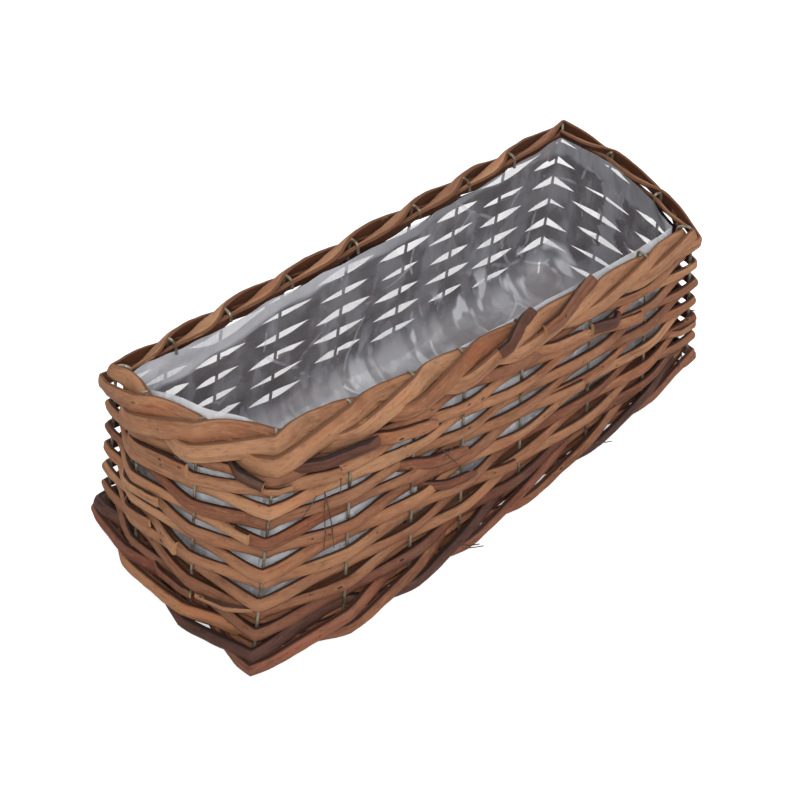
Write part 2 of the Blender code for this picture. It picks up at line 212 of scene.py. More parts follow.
def pathCurve(name, points, tilts=(), radii=()):
    data = bpy.data.curves.new(name, "CURVE")
    data.dimensions = "3D"
    data.twist_mode = "Z_UP"
    spline = data.splines.new("POLY")
    spline.points.add(len(points) - 1)
    for point, spot in zip(spline.points, points):
        point.co = (*spot, 1)
    for point, tilt in zip(spline.points, tilts):
        point.tilt = tilt
    for point, radius in zip(spline.points, radii):
        point.radius = radius
    path = bpy.data.objects.new(name, data)
    bpy.context.scene.collection.objects.link(path)
    return path


def pathLength(points):
    return sum((after - before).length for before, after in zip(points, points[1:]))


rodWork = {
    "lumpSize": 0.012,
    "grainStart": 60,
    "smoothAngle": 48,
    "touching": 1e-5,  # nearer than this is at the same place
}

lump = bpy.data.textures.new("willowLumps", "CLOUDS")
lump.noise_scale = rodWork["lumpSize"]
lump.noise_depth = 1


def isSplit(look):
    return look["splitAt"] < 0.5


def rodBlank(name, length, look):
    # A straight rod along X. Split ones lose their back half, which leaves the flat face.
    bpy.ops.mesh.primitive_cylinder_add(
        vertices=look["sides"], radius=look["width"] / 2, depth=length,
        location=(length / 2, 0, 0), rotation=(0, math.pi / 2, 0))
    rod = bpy.context.object
    rod.name = name
    rod.data.name = name
    bpy.ops.object.transform_apply(location=True, rotation=True, scale=True)
    bpy.ops.object.mode_set(mode="EDIT")
    bpy.ops.mesh.select_all(action="SELECT")
    if isSplit(look):
        bpy.ops.mesh.bisect(plane_co=(0, look["width"] * look["splitAt"], 0), plane_no=(0, 1, 0),
                            use_fill=True, clear_outer=True)
        bpy.ops.mesh.select_all(action="SELECT")
    depth = look["width"] * (0.5 + look["splitAt"])
    middle = (look["splitAt"] - 0.5) / 2 * look["width"]
    bpy.ops.transform.translate(value=(0, -middle, 0))
    bpy.ops.transform.resize(value=(1, look["thickness"] / depth, 1), center_override=(0, 0, 0))
    bpy.ops.object.mode_set(mode="OBJECT")
    rings = max(2, round(length / look["ring"]))
    cuts = max(1, round(math.sqrt(rings)))
    for turn in range(2):
        selectInEdit(rod, edgeTest=lambda a, b: abs(a.x - b.x) > rodWork["touching"])
        bpy.ops.mesh.subdivide(number_cuts=cuts, quadcorner="INNERVERT")
        bpy.ops.object.mode_set(mode="OBJECT")
    return rod


def flattenFace(rod, look):
    # a split face is flat and the bark side is a low arch with full shoulders
    back = look["thickness"] / 2
    for vert in rod.data.vertices:
        share = (back - vert.co.y) / look["thickness"]
        if 0 < share < 1:
            vert.co.y = back - look["thickness"] * share ** look["fullness"]


def taperEnd(rod, endX, reach, share):
    # draws the last stretch of a rod in towards its axis
    selectInEdit(rod, vertTest=lambda co: abs(co.x - endX) < rodWork["touching"])
    bpy.ops.transform.resize(
        value=(1, share, share), center_override=(endX, 0, 0),
        use_proportional_edit=True, proportional_edit_falloff="SMOOTH", proportional_size=reach)
    bpy.ops.object.mode_set(mode="OBJECT")


def keepGrain(rod):
    # remembers where each point was on the straight rod, for the grain of the wood
    offset = dice.uniform(0, rodWork["grainStart"])
    grain = rod.data.attributes.new("grain", "FLOAT_VECTOR", "POINT")
    for number, vert in enumerate(rod.data.vertices):
        grain.data[number].vector = (vert.co.x + offset, vert.co.y, vert.co.z)


def markCuts(rod, length):
    # the faces across both ends show the fresh wood
    cut = rod.data.attributes.new("cut", "FLOAT", "FACE")
    for face in rod.data.polygons:
        fromEnd = min(abs(face.center.x), abs(face.center.x - length))
        cut.data[face.index].value = 1.0 if fromEnd < rodWork["touching"] else 0.0


def bendRod(name, points, tilts, radii, look, taper=(1, 1)):
    length = pathLength(points)
    rod = rodBlank(name, length, look)
    markCuts(rod, length)
    if isSplit(look):
        flattenFace(rod, look)
    for endX, share in ((0, taper[0]), (length, taper[1])):
        if share != 1:
            taperEnd(rod, endX, look["width"], share)
    keepGrain(rod)
    path = pathCurve(name + "Path", points, tilts, radii)
    applyModifier(rod, "CURVE", object=path, deform_axis="POS_X")
    bpy.data.objects.remove(path)
    applyModifier(rod, "DISPLACE", texture=lump, strength=look["lumps"], mid_level=0.5,
                  texture_coords="LOCAL")
    onlySelect(rod)
    bpy.ops.object.shade_smooth_by_angle(angle=math.radians(rodWork["smoothAngle"]))
    return rod


def addPiece(piece, finish, slot, *nodes):
    piece.data.materials.clear()
    piece.data.materials.append(finish)
    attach(piece, "root")
    if nodes:
        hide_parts(*nodes)


# Materials

def srgb(red, green, blue):
    channels = []
    for value in (red, green, blue):
        share = value / 255
        channels.append(share / 12.92 if share <= 0.04045 else ((share + 0.055) / 1.055) ** 2.4)
    return (*channels, 1)


def newMaterial(name):
    finish = bpy.data.materials.new(name)
    finish.use_nodes = True
    return finish, finish.node_tree, finish.node_tree.nodes["Principled BSDF"]


def setInputs(tree, node, inputs):
    # each input takes a link from another node's output or a plain value
    for key, value in inputs.items():
        if isinstance(value, bpy.types.NodeSocket):
            tree.links.new(value, node.inputs[key])
        else:
            node.inputs[key].default_value = value


def addNode(tree, kind, inputs=None, **settings):
    made = tree.nodes.new(kind)
    for key, value in settings.items():
        setattr(made, key, value)
    setInputs(tree, made, inputs or {})
    return made


def nodeTools(tree):
    # the few nodes that every pattern is made of, as short functions for one tree
    def calc(operation, first, second=0.0, clamp=False):
        inputs = {0: first, 1: second}
        return addNode(tree, "ShaderNodeMath", inputs, operation=operation, use_clamp=clamp).outputs[0]

    def times(value, *factors):
        for factor in factors:
            value = calc("MULTIPLY", value, factor)
        return value

    def ramp(value, low, high):
        inputs = {"Value": value, "From Min": low, "From Max": high}
        return addNode(tree, "ShaderNodeMapRange", inputs, interpolation_type="SMOOTHSTEP").outputs["Result"]

    def mix(share, first, second):
        inputs = {0: share, 6: first, 7: second}
        return addNode(tree, "ShaderNodeMix", inputs, data_type="RGBA").outputs[2]

    def stretch(place, *factors):
        return addNode(tree, "ShaderNodeVectorMath", {0: place, 1: factors}, operation="MULTIPLY").outputs[0]

    def noise(place, detail=2.0, roughness=0.5):
        inputs = {"Vector": place, "Scale": 1.0, "Detail": detail, "Roughness": roughness}
        return addNode(tree, "ShaderNodeTexNoise", inputs).outputs["Fac"]

    return calc, times, ramp, mix, stretch, noise


willow = {
    "warm": (164, 88, 50),
    "grey": (128, 106, 82),
    "freshCut": (180, 138, 96),
    "streaks": 0.5,
    "bump": 0.8,
    "bumpDepth": 0.0006,
    "shine": 0.22,
    # where the split face comes in, as shares of half the thickness; the face is real, its dark colour is
    # painted shade
    "splitFrom": 0.76,
    "splitTo": 0.95,
    # where the painted shade along both edges of a strip comes in, as shares of the width
    "shadedEdgeFrom": 0.43,
    "shadedEdgeTo": 0.482,
}


def makeGrainGroup():
    # Fibres, patches, knots and the split face of willow, painted dark as its shade, with painted shade
    # along the edges, from the place on the straight rod
    group = bpy.data.node_groups.new("willowGrain", "ShaderNodeTree")
    for side, kind, names in (
            ("INPUT", "Vector", ("Grain",)),
            ("INPUT", "Color", ("Pale", "Middle", "Deep", "Split")),
            ("INPUT", "Float", ("Split From", "Split To", "Streaks", "Shaded Edge From", "Shaded Edge To", "Cut")),
            ("OUTPUT", "Color", ("Color",)),
            ("OUTPUT", "Float", ("Roughness", "Height"))):
        for name in names:
            group.interface.new_socket(name, in_out=side, socket_type=f"NodeSocket{kind}")
    into = group.nodes.new("NodeGroupInput").outputs
    parts = addNode(group, "ShaderNodeSeparateXYZ", {0: into["Grain"]}).outputs
    calc, times, ramp, mix, stretch, noise = nodeTools(group)

    def rodNoise(along, across, detail=2.0, roughness=0.5):
        return noise(stretch(into["Grain"], along, across, across), detail, roughness)

    fibres = rodNoise(45, 1500, 3.0, 0.6)
    streaks = rodNoise(14, 420, 2.0, 0.55)
    flecks = rodNoise(150, 560, 2.0, 0.6)
    patches = rodNoise(26, 110, 3.0, 0.6)
    warmth = rodNoise(17, 60, 2.0, 0.6)
    spots = ramp(rodNoise(160, 330), 0.70, 0.78)
    body = mix(ramp(rodNoise(2.2, 0, 1.0), 0.36, 0.64), into["Middle"], into["Pale"])
    # every layer's mask, how strongly it shows and its colour, from the lowest up
    for mask, strength, tint in (
            (ramp(patches, 0.46, 0.78), 0.62, into["Deep"]),
            (ramp(patches, 0.50, 0.24), 0.55, into["Pale"]),
            (ramp(warmth, 0.52, 0.74), 0.34, srgb(*willow["warm"])),
            (ramp(warmth, 0.46, 0.26), 0.34, srgb(*willow["grey"])),
            (ramp(streaks, 0.52, 0.80), into["Streaks"], into["Deep"]),
            (ramp(flecks, 0.52, 0.72), 0.38, into["Deep"]),
            (ramp(flecks, 0.46, 0.28), 0.40, into["Pale"]),
            (ramp(fibres, 0.50, 0.85), 0.34, into["Deep"]),
            (spots, 0.8, into["Split"]),
            (ramp(rodNoise(30, 12, 0.0), 0.74, 0.80), 0.6, into["Deep"]),
            # last, painted shade darkens both edges of the strip towards the split colour
            (ramp(calc("ABSOLUTE", parts["Z"]), into["Shaded Edge From"], into["Shaded Edge To"]), 0.92, into["Split"])):
        body = mix(times(mask, strength), body, tint)
    # the split face, painted dark as its shade, with a ragged edge
    across = calc("ADD", parts["Y"], times(calc("SUBTRACT", streaks, 0.5), 0.0008))
    splitTone = mix(times(patches, 0.5), into["Split"], into["Deep"])
    body = mix(ramp(across, into["Split From"], into["Split To"]), body, splitTone)

    # leaf scars: a small dark spot in a pale ring, here and there
    scars = addNode(group, "ShaderNodeTexVoronoi", {
        "Vector": stretch(into["Grain"], 52, 110, 110), "Scale": 1.0, "Randomness": 1.0}).outputs
    chosen = addNode(group, "ShaderNodeSeparateColor", {0: scars["Color"]}).outputs[0]
    some = ramp(chosen, 0.74, 0.76)
    ring = times(ramp(scars["Distance"], 0.24, 0.14), some)
    scar = times(ramp(scars["Distance"], 0.13, 0.07), some)
    for mask, strength, tint in ((ring, 0.35, into["Pale"]), (scar, 0.85, into["Split"]),
                                 (into["Cut"], 0.85, srgb(*willow["freshCut"]))):
        body = mix(times(mask, strength), body, tint)

    rough = addNode(group, "ShaderNodeMath", {0: fibres, 1: 0.3, 2: 0.52}, operation="MULTIPLY_ADD")
    height = times(fibres, 0.5)
    for mask, lift in ((streaks, 1.2), (flecks, -0.5), (patches, 0.9), (spots, -0.48), (ring, 0.9)):
        height = calc("ADD", height, times(mask, lift))
    addNode(group, "NodeGroupOutput", {"Color": body, "Roughness": rough.outputs[0], "Height": height})
    return group


grainGroup = makeGrainGroup()


def willowMaterial(name, look, pale, middle, deep, split):
    finish, tree, shader = newMaterial(name)
    inner = look["thickness"] / 2 if isSplit(look) else 1.0  # a whole rod has no split face
    wood = addNode(tree, "ShaderNodeGroup", {
        "Grain": addNode(tree, "ShaderNodeAttribute", attribute_name="grain").outputs["Vector"],
        "Cut": addNode(tree, "ShaderNodeAttribute", attribute_name="cut").outputs["Fac"],
        "Pale": srgb(*pale),
        "Middle": srgb(*middle),
        "Deep": srgb(*deep),
        "Split": srgb(*split),
        "Streaks": willow["streaks"],
        "Split From": inner * willow["splitFrom"],
        "Split To": inner * willow["splitTo"],
        "Shaded Edge From": look["width"] * willow["shadedEdgeFrom"],
        "Shaded Edge To": look["width"] * willow["shadedEdgeTo"],
    }, node_tree=grainGroup).outputs
    relief = addNode(tree, "ShaderNodeBump", {
        "Height": wood["Height"], "Strength": willow["bump"], "Distance": willow["bumpDepth"]})
    setInputs(tree, shader, {
        "Base Color": wood["Color"], "Roughness": wood["Roughness"], "Normal": relief.outputs["Normal"],
        "Specular IOR Level": willow["shine"]})
    return finish


# Wires: galvanised, gone dull, hooked over the rim's inner strand

wire = {
    "diameter": 0.0021,
    "bend": 0.004,
    "hookLeg": 0.0036,
    "hookRise": 0.0037,
    "endRise": 0.0020,
    "endDepth": 0.0052,
    "hookDepth": 0.0080,
    "hookShoulder": 0.1352,
    "level": 0.0021,
    "baseLevel": 0.0072,
    "longLevel": 0.0093,
    "underFoot": 0.0117,
    "kick": 0.008,
    "shortFoot": 0.024,
    "arcSteps": 8,
    "bendSteps": 5,
    "roundness": 4,
    "fullness": 0.8,  # of the hook's arc, 1 is round
    "cornerReach": 1.15,
    "legSpread": (-0.002, 0.001),
    "smoothAngle": 50,
}


def hookPoints(index):
    # from the free end inside the rim, up over the inner strand, to the top of the stake
    outward, reach = stakeNormal(index, plan["rimCentre"])
    atRightEnd = firstRight <= index < firstBack
    depth = (wire["endDepth"] if atRightEnd else wire["hookDepth"]) * min(reach, wire["cornerReach"])
    top = wire["endRise"] if atRightEnd else wire["hookRise"]
    stake = stakeAt(index, wire["hookShoulder"])
    spots = [(depth, wire["hookShoulder"] - wire["hookLeg"] + dice.uniform(*wire["legSpread"]))]
    for step in range(wire["arcSteps"] + 1):
        angle = math.pi * step / wire["arcSteps"]
        along = math.copysign(abs(math.cos(angle)) ** wire["fullness"], math.cos(angle))
        rise = top * abs(math.sin(angle)) ** wire["fullness"]
        spots.append((depth / 2 * (1 + along), wire["hookShoulder"] + rise))
    return [atHeight(stake - outward * inward, level) for inward, level in spots]


def footBend(index, towards):
    inward = (towards - stakeAt(index, 0)).normalized()
    upright = stakeAt(index, wire["bend"] + wire["level"])
    points = []
    for step in range(wire["bendSteps"] + 1):
        angle = math.pi / 2 * step / wire["bendSteps"]
        spot = upright + inward * wire["bend"] * (1 - math.cos(angle))
        points.append(atHeight(spot, wire["level"] + wire["bend"] * (1 - math.sin(angle))))
    return points


def baseRun(start, end, level):
    # low under the foot at both ends, and level with the base strips between them
    along = (end - start).normalized()
    low = along * wire["underFoot"]
    high = along * (wire["underFoot"] + wire["kick"])
    return [atHeight(start + low, wire["level"]), atHeight(start + high, level),
            atHeight(end - high, level), atHeight(end - low, wire["level"])]


def makeRound(name, points, look):
    path = pathCurve(name, points)
    path.data.twist_mode = "MINIMUM"
    path.data.bevel_depth = look["diameter"] / 2
    path.data.bevel_resolution = look["roundness"]
    path.data.use_fill_caps = True
    onlySelect(path)
    bpy.ops.object.convert(target="MESH")
    piece = bpy.context.object
    bpy.ops.object.mode_set(mode="EDIT")
    bpy.ops.mesh.select_all(action="SELECT")
    bpy.ops.mesh.remove_doubles(threshold=rodWork["touching"])
    bpy.ops.mesh.normals_make_consistent(inside=False)
    bpy.ops.object.mode_set(mode="OBJECT")
    bpy.ops.object.shade_smooth_by_angle(angle=math.radians(wire["smoothAngle"]))
    return piece


def makeStained(name, clean, stain, metallic):
    finish, tree, shader = newMaterial(name)
    ramp, mix, stretch, noise = nodeTools(tree)[2:]
    place = addNode(tree, "ShaderNodeTexCoord").outputs["Object"]
    patches = noise(stretch(place, 180, 180, 180), 3)
    setInputs(tree, shader, {
        "Base Color": mix(ramp(patches, 0.42, 0.62), srgb(*clean), srgb(*stain)),
        "Roughness": ramp(patches, 0.2, 0.9),
        "Metallic": metallic,
    })
    return finish


dullWire = makeStained("dullWire", (138, 128, 110), (86, 72, 55), 0.35)


def throughWire(kind, number, first, last, level):
    # down one stake, under the base and up the one across from it
    start = stakeAt(first, 0)
    end = stakeAt(last, 0)
    points = hookPoints(first) + footBend(first, end) + baseRun(start, end, level)
    points += (hookPoints(last) + footBend(last, start))[::-1]
    piece = makeRound(f"{kind}Wire{number}", points, wire)
    addPiece(piece, dullWire, "steel_wire", f"{kind}_wire_{number}")


crossings = []
for number in range(1, len(plan["frontStakes"]) + 1):
    crossings.append((number, firstLeft - 1 - number))
    throughWire("cross", number, *crossings[-1], wire["baseLevel"])
for number in range(1, len(plan["rightStakes"]) + 1):
    left = firstLeft + len(plan["leftStakes"]) - number
    throughWire("long", number, left, firstRight + number - 1, wire["longLevel"])
shortStakes = {
    "corner_wire_front_left": 0,
    "corner_wire_front_right": firstRight - 1,
    "corner_wire_back_right": firstBack - 1,
    "corner_wire_back_left": firstLeft - 1,
    "odd_wire_back_1": firstBack,
}
for node, index in shortStakes.items():
    tip = stakeAt(index, 0) - stakeNormal(index, 0)[0] * wire["shortFoot"]
    points = hookPoints(index) + footBend(index, tip) + [atHeight(tip, wire["level"])]
    words = node.split("_")
    piece = makeRound(words[0] + "".join(word.title() for word in words[1:]), points, wire)
    addPiece(piece, dullWire, "steel_wire", node)
print("wires made")


# Wall: one spiral of split willow, in front of every second stake and behind the others

wallStrip = {
    "width": 0.0087,
    "thickness": 0.0038,
    "splitAt": 0.04,
    "fullness": 0.75,
    "sides": 18,
    "ring": 0.0035,
    "lumps": 0.0006,
    "swing": 0.0033,
    # how far the weave strays out, up and round, how much the width varies, and how quickly each
    "sway": (0.0004, 1.3),
    "climb": (0.0010, 1.4),
    "turn": (0.20, 1.7),
    "swell": (0.19, 1.1),
    "baySteps": 8,
    "stripBays": 16,
    "spliceGap": 0.3,
    "tongue": 0.82,
    "liftFrom": 0.2,
    "liftOver": 0.5,
    "endPush": 0.0034,
    "lastTuck": 5.3,
    "tones": ("dark", "brown", "brown", "pale", "brown", "pale", "brown",
              "pale", "brown", "brown", "pale", "brown", "pale", "brown"),
}

# the last colour of each is the split face and the edges, painted near-black as their shade
wallTones = {
    "pale": willowMaterial("paleWillow", wallStrip,
                           (186, 139, 103), (144, 94, 66), (98, 58, 40), (34, 18, 13)),
    "brown": willowMaterial("brownWillow", wallStrip,
                            (165, 118, 86), (122, 76, 55), (82, 46, 33), (34, 18, 13)),
    "dark": willowMaterial("darkWillow", wallStrip,
                           (132, 88, 66), (98, 59, 46), (58, 32, 27), (28, 15, 12)),
    "torn": willowMaterial("tornBark", wallStrip,
                           (104, 66, 52), (74, 45, 37), (44, 26, 22), (24, 14, 12)),
}

wallStart = firstLeft - 1 - stakeCount
levelBays = firstBack - 1 - wallStart
wallEnd = firstBack - 1 + plan["rowTurns"] * stakeCount


def rowHeight(place):
    # level along the front, climbing one row along the back
    turns, bays = divmod(place - wallStart, stakeCount)
    climbed = max(0, bays - levelBays) / (stakeCount - levelBays)
    return plan["wallStart"] + plan["rowPitch"] * (turns + climbed)


def stripPoint(place, seed, push):
    out = wallStrip["swing"] * math.cos(math.pi * place) + push + wander(wallStrip["sway"], seed, place)
    return leaningPoint(place, out, rowHeight(place) + wander(wallStrip["climb"], seed + 3, place))


def endLift(place, end):
    # the end of a strip lies over the start of the next one, the last is tucked under the rim
    over = max(0, place - end - wallStrip["liftFrom"])
    return wallStrip["endPush"] * min(1, over / wallStrip["liftOver"]) if end < wallEnd else 0


def placesBetween(start, end, steps):
    # even steps, and both ends, with nothing too near them
    near = 0.02
    first = math.floor(start * steps) + 1
    last = math.ceil(end * steps) - 1
    middle = [step / steps for step in range(first, last + 1)]
    return [start] + [place for place in middle if start + near < place < end - near] + [end]


for number, tone in enumerate(wallStrip["tones"], 1):
    start = wallStart + wallStrip["stripBays"] * (number - 1)
    end = min(start + wallStrip["stripBays"], wallEnd)
    first = start + (wallStrip["spliceGap"] if number > 1 else 0)
    last = end + (wallStrip["tongue"] if end < wallEnd else wallStrip["lastTuck"])
    places = placesBetween(first, last, wallStrip["baySteps"])
    points = [stripPoint(place, number, endLift(place, end)) for place in places]
    tilts = [wander(wallStrip["turn"], number + 7, place) - wallLean(place) for place in places]
    radii = [1 + wander(wallStrip["swell"], number + 11, place) for place in places]
    piece = bendRod(f"wallStrip{number:02d}", points, tilts, radii, wallStrip)
    addPiece(piece, wallTones[tone], "split_willow", f"wall_strip_{number:02d}")
print("wall woven:", number, "strips")


# Rim and foot: three strands twisted round the stakes

twist = {
    "strands": 3,
    "joinAt": 0.25,
    "joinGap": 0.01,
    "baySteps": 8,
    # how far the strands stray up and round, how much their width varies, and how quickly each
    "sway": (0.0006, 1.0),
    "turn": (0.12, 1.0),
    "swell": (0.08, 0.6),
}

rimStrand = {
    "width": 0.0128,
    "thickness": 0.0037,
    "splitAt": 0.04,
    "fullness": 0.62,
    "sides": 20,
    "ring": 0.0035,
    "lumps": 0.0009,
    "swing": 0.0082,
    "lift": 0.0060,
    # out past two stakes and in past one, rising all the way past the two
    "sideKnots": ((0.0, -0.54), (0.08, -0.40), (0.17, 0.15), (0.25, 0.75), (0.33, 0.98), (0.5, 0.90),
                  (0.58, 0.72), (0.67, 0.42), (0.75, -0.12), (0.83, -0.44), (0.92, -0.54)),
    "heightKnots": ((0.0, 0.26), (0.08, -0.25), (0.17, -1.0), (0.25, -1.30), (0.33, -1.10), (0.42, -0.60),
                    (0.5, -0.10), (0.58, 0.32), (0.67, 0.64), (0.75, 0.76), (0.83, 0.62), (0.92, 0.44)),
    # the round face turns up where a strand crosses over the top
    "tiltKnots": ((0.0, -0.40), (0.17, -0.22), (0.33, -0.08), (0.5, -0.14), (0.67, -0.38),
                  (0.77, -0.72), (0.88, -0.60)),
    # stakes' places and how much more it turns up there
    "turnUp": ((0.5, 1.0), (7.0, 1.0), (9.5, 1.25), (11.0, 1.6), (16.6, 1.6), (18.6, 1.0)),
    # how stout the willow is
    "stoutness": ((0.6, 1.18), (2.4, 1.0), (4.5, 0.86), (6.8, 0.74), (9.5, 0.84), (12.0, 0.98),
                  (16.0, 1.02), (17.9, 0.78), (19.3, 1.08)),
    # and how far the strands stand apart
    "spread": ((0.6, 0.92), (2.4, 0.95), (4.5, 0.80), (6.6, 0.68), (8.4, 0.86), (12.0, 1.0),
               (16.0, 1.0), (18.5, 1.0)),
}

footRod = {
    "width": 0.0098,
    "thickness": 0.0074,
    "splitAt": 0.5,  # whole rods
    "sides": 12,
    "ring": 0.0035,
    "lumps": 0.0009,
    "swing": 0.0068,
    "lift": 0.0046,
    "sideKnots": ((0.0, -1.0), (0.17, 0.0), (0.33, 0.95), (0.5, 0.98), (0.67, 0.80), (0.83, -0.1)),
    "heightKnots": ((0.0, 0.5), (0.16, -0.7), (0.33, -0.95), (0.5, -0.15), (0.67, 0.75), (0.84, 1.0)),
    "tiltKnots": ((0.0, -0.2), (0.17, 0.0), (0.33, 0.1), (0.5, 0.0), (0.67, -0.15), (0.84, -0.3)),
    "turnUp": ((0.0, 1.0), (7.0, 1.0), (14.0, 1.0)),
    "stoutness": ((0.0, 1.05), (4.0, 0.88), (7.0, 0.72), (9.0, 0.80), (14.0, 1.0), (18.5, 1.08)),
    "spread": ((0.0, 1.0), (5.4, 0.95), (7.1, 0.60), (9.0, 0.70), (10.6, 1.0), (16.0, 1.0)),
}

rimWillow = willowMaterial("rimWillow", rimStrand,
                           (186, 140, 104), (140, 91, 64), (92, 53, 37), (104, 68, 47))
footBarks = (
    willowMaterial("orangeBark", footRod, (174, 122, 86), (124, 80, 57), (64, 36, 27), (34, 19, 16)),
    willowMaterial("darkBark", footRod, (98, 66, 54), (66, 42, 36), (36, 20, 18), (26, 15, 13)),
    willowMaterial("redBark", footRod, (150, 98, 74), (98, 54, 44), (52, 26, 23), (34, 19, 16)),
)


def throughKnots(knots, turn):
    # smooth closed curve through (turn, value) knots
    turn = turn % 1
    count = len(knots)
    for number in range(count):
        fromTurn, value = knots[number]
        nextTurn, nextValue = knots[(number + 1) % count]
        span = (nextTurn - fromTurn) % 1
        gone = (turn - fromTurn) % 1
        if gone < span:
            beforeTurn, before = knots[number - 1]
            afterTurn, after = knots[(number + 2) % count]
            slopeIn = (nextValue - before) / ((nextTurn - beforeTurn) % 1) * span
            slopeOut = (after - value) / ((afterTurn - fromTurn) % 1) * span
            x = gone / span
            return ((2 * x ** 3 - 3 * x ** 2 + 1) * value + (x ** 3 - 2 * x ** 2 + x) * slopeIn
                    + (3 * x ** 2 - 2 * x ** 3) * nextValue + (x ** 3 - x ** 2) * slopeOut)
    return knots[0][1]


def twistPoint(place, strand, look, centre):
    turn = (place - strand) / twist["strands"]
    spread = roundBasket(look["spread"], place)[0]
    out = look["swing"] * throughKnots(look["sideKnots"], turn) * spread
    rise = look["lift"] * throughKnots(look["heightKnots"], turn) * spread
    return wallPoint(place, out, centre + rise + wander(twist["sway"], strand + 20, place))


def twistTilt(place, strand, look):
    tilt = throughKnots(look["tiltKnots"], (place - strand) / twist["strands"])
    return tilt * roundBasket(look["turnUp"], place)[0] + wander(twist["turn"], strand + 30, place)


def makeTwist(name, look, centre, finishes, slot, node):
    for strand in range(twist["strands"]):
        start = strand * stakeCount / twist["strands"] + twist["joinAt"]
        end = start + stakeCount - twist["joinGap"]
        places = placesBetween(start + twist["joinGap"], end, twist["baySteps"])
        points = [twistPoint(place, strand, look, centre) for place in places]
        tilts = [twistTilt(place, strand, look) for place in places]
        radii = [roundBasket(look["stoutness"], place)[0] + wander(twist["swell"], strand + 40, place)
                 for place in places]
        piece = bendRod(f"{name}{strand + 1}", points, tilts, radii, look)
        addPiece(piece, finishes[strand], slot, f"{node}_{strand + 1}")


makeTwist("rimStrand", rimStrand, plan["rimCentre"], [rimWillow] * 3, "rim_willow", "rim_strand")
makeTwist("footRod", footRod, plan["footCentre"], footBarks, "bark_rod", "foot_rod")
print("rim and foot twisted")


# Loose ends that lie over the wall and rim, torn bark and a few thin twigs

strayEnd = {
    "width": 0.0094,
    "thickness": 0.0036,
    "splitAt": 0.04,
    "fullness": 0.75,
    "sides": 16,
    "ring": 0.003,
    "lumps": 0.0006,
    "swell": (0.08, 0.5),
    "steps": 16,
    "buried": 0.0044,
    "outAt": 0.4,
    "bulge": 0.8,  # of the way out, 1 is straight
    # from place and height, to place and height, width, how far out, tilt, narrowing of the end, tone
    "ends": (
        ((1.10, 0.1135), (2.35, 0.1050), 1.05, 0.0066, 0.0, 0.55, "pale"),
        ((1.75, 0.0840), (2.98, 0.0745), 1.00, 0.0062, 0.0, 0.60, "brown"),
        ((2.20, 0.0610), (3.15, 0.0535), 0.85, 0.0062, 0.1, 0.50, "dark"),
        ((-2.45, 0.1020), (-1.04, 0.1085), 1.10, 0.0060, 0.0, 0.95, "brown"),
        ((-2.60, 0.0660), (-1.51, 0.0725), 0.80, 0.0060, 0.0, 0.85, "pale"),
        ((-2.40, 0.0460), (-1.62, 0.0525), 0.75, 0.0062, 0.0, 0.80, "brown"),
        ((-0.10, 0.0315), (-0.82, 0.0262), 0.80, 0.0060, 0.0, 0.80, "pale"),
        ((-1.80, 0.0180), (-0.92, 0.0240), 0.70, 0.0056, 0.0, 0.70, "dark"),
        ((3.95, 0.1180), (4.88, 0.1100), 0.90, 0.0070, 0.0, 0.65, "pale"),
        ((5.60, 0.1010), (4.92, 0.1115), 0.90, 0.0072, 0.2, 0.90, "torn"),
        ((0.10, 0.1150), (1.27, 0.1155), 1.20, 0.0112, 0.5, 0.85, "torn"),
        ((-0.60, 0.1185), (-0.05, 0.1110), 1.00, 0.0100, 0.3, 0.90, "torn"),
        ((-0.20, 0.1090), (0.18, 0.1075), 0.50, 0.0080, 0.2, 0.90, "pale"),
        ((6.40, 0.0500), (7.12, 0.0455), 0.70, 0.0060, 0.0, 0.50, "brown"),
        ((10.30, 0.1205), (7.05, 0.1225), 1.10, -0.0030, 0.0, 0.90, "dark"),
    ),
}

# two more climb the outside of the rim and turn in over the top
rimEnd = {
    "out": 0.0084,
    "reach": 0.0134,
    "turnAt": 0.25,
    "topAt": 0.8,
    "tilt": -0.2,
    "roll": 0.9,
    "narrow": 0.8,
    # from place and height, to place and height, width, tone
    "ends": (
        ((4.20, 0.1330), (5.14, 0.1402), 0.95, "dark"),
        ((3.45, 0.1330), (4.22, 0.1402), 0.90, "torn"),
    ),
}

twig = {
    "diameter": 0.0007,
    "roundness": 2,
    # how far out it starts and ends, then places and heights
    "runs": (
        (0.0078, 0.0084, (0.60, 0.0990), (0.61, 0.0860), (0.64, 0.0740), (0.63, 0.0635)),
        (0.0078, 0.0084, (0.61, 0.0975), (0.66, 0.0880), (0.70, 0.0800), (0.76, 0.0620)),
        (0.0080, 0.0076, (0.79, 0.1095), (0.80, 0.1010), (0.81, 0.0935)),
        (0.0074, 0.0080, (0.50, 0.0985), (0.42, 0.0930), (0.32, 0.0880)),
        (0.0084, 0.0090, (2.37, 0.0905), (2.53, 0.0820), (2.70, 0.0730)),
        (0.0088, 0.0084, (2.61, 0.0865), (2.53, 0.0840), (2.45, 0.0815)),
        (0.0100, 0.0150, (2.78, 0.0140), (2.92, 0.0100), (3.06, 0.0085)),
        (0.0100, 0.0146, (2.86, 0.0080), (3.02, 0.0056), (3.14, 0.0040)),
        (0.0100, 0.0140, (4.98, 0.0120), (5.10, 0.0080), (5.18, 0.0070)),
        (0.0040, 0.0088, (6.78, 0.0200), (6.66, 0.0180), (6.58, 0.0170)),
        (0.0060, 0.0110, (7.45, 0.0420), (7.28, 0.0440), (7.12, 0.0460)),
    ),
}


def strayPath(start, end, out):
    # comes up out of the weave and then lies on it
    points = []
    for step in range(strayEnd["steps"] + 1):
        share = step / strayEnd["steps"]
        away = (out + strayEnd["buried"]) * min(1, share / strayEnd["outAt"]) ** strayEnd["bulge"]
        height = between(start[1], end[1], share)
        points.append(leaningPoint(between(start[0], end[0], share), away - strayEnd["buried"], height))
    return points


